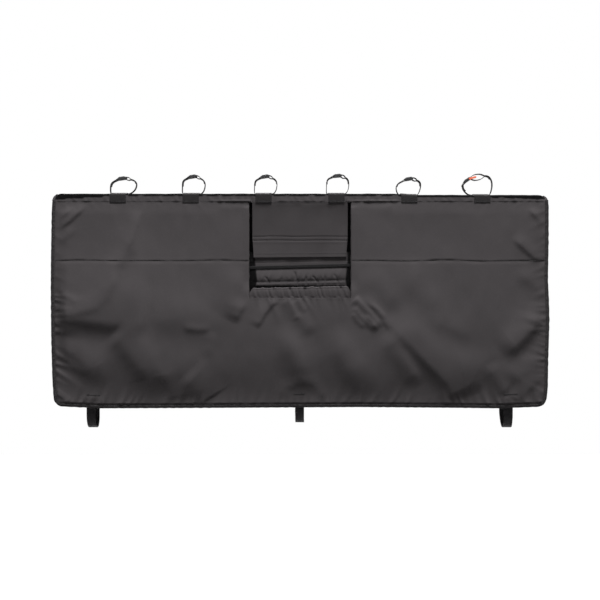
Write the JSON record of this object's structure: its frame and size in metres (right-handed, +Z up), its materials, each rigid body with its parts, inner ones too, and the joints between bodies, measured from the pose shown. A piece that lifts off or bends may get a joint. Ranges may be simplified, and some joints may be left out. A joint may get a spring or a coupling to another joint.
{
  "type": "tailgate bike pad",
  "caption": "Padded fabric cover that hangs over a pickup's tailgate, with a window for the handle, strap loops for bicycle down tubes and straps that close under the tailgate.",
  "frame": {"origin": "middle of the top lining's underside, where it rests on the tailgate's top edge", "axes": "+X along the tailgate, to the right when seen from behind the vehicle; -Y the outside face of the pad; +Z up"},
  "size_m": [1.575, 0.1247, 0.8119],
  "materials": {
    "shell": "coated woven polyester, charcoal, slight sheen",
    "binding": "woven binding tape, black",
    "foam": "closed-cell foam sheet, grey",
    "lining": "soft brushed lining, dark grey",
    "webbing": "woven webbing, black",
    "hook_tape": "hook-and-loop tape, black",
    "elastic": "knitted elastic tape, off-white",
    "buckle": "moulded plastic, black, satin",
    "pull_tab": "woven tape, orange"
  },
  "bodies": {
    "root": {"access_flap": "shell", "backing_hook_strip": "hook_tape", "backing_panel": "shell", "flap_loop_tape": "hook_tape", "front_binding": "binding", "front_foam": "foam", "front_lining": "lining", "front_shell": "shell", "ladder_lock_left": "buckle", "ladder_lock_middle": "buckle", "ladder_lock_right": "buckle", "lock_anchor_left": "webbing", "lock_anchor_middle": "webbing", "lock_anchor_right": "webbing", "pull_tab": "pull_tab", "rear_binding": "binding", "rear_foam": "foam", "rear_lining": "lining", "rear_shell": "shell", "strap_tab_1": "webbing", "strap_tab_2": "webbing", "strap_tab_3": "webbing", "strap_tab_4": "webbing", "strap_tab_5": "webbing", "strap_tab_6": "webbing", "top_binding_left": "binding", "top_binding_right": "binding", "top_foam": "foam", "top_front_lining": "lining", "top_front_shell": "shell", "top_lining": "lining", "top_rear_lining": "lining", "top_rear_shell": "shell", "top_shell": "shell", "tube_buckle_1": "buckle", "tube_buckle_2": "buckle", "tube_buckle_3": "buckle", "tube_buckle_4": "buckle", "tube_buckle_5": "buckle", "tube_buckle_6": "buckle", "tube_strap_1": "webbing", "tube_strap_2": "webbing", "tube_strap_3": "webbing", "tube_strap_4": "webbing", "tube_strap_5": "webbing", "tube_strap_6": "webbing", "under_strap_left": "webbing", "under_strap_middle": "webbing", "under_strap_right": "webbing", "window_elastic": "elastic", "window_facing_left": "shell", "window_facing_right": "shell", "window_hem_casing": "shell"}
  },
  "joints": []
}
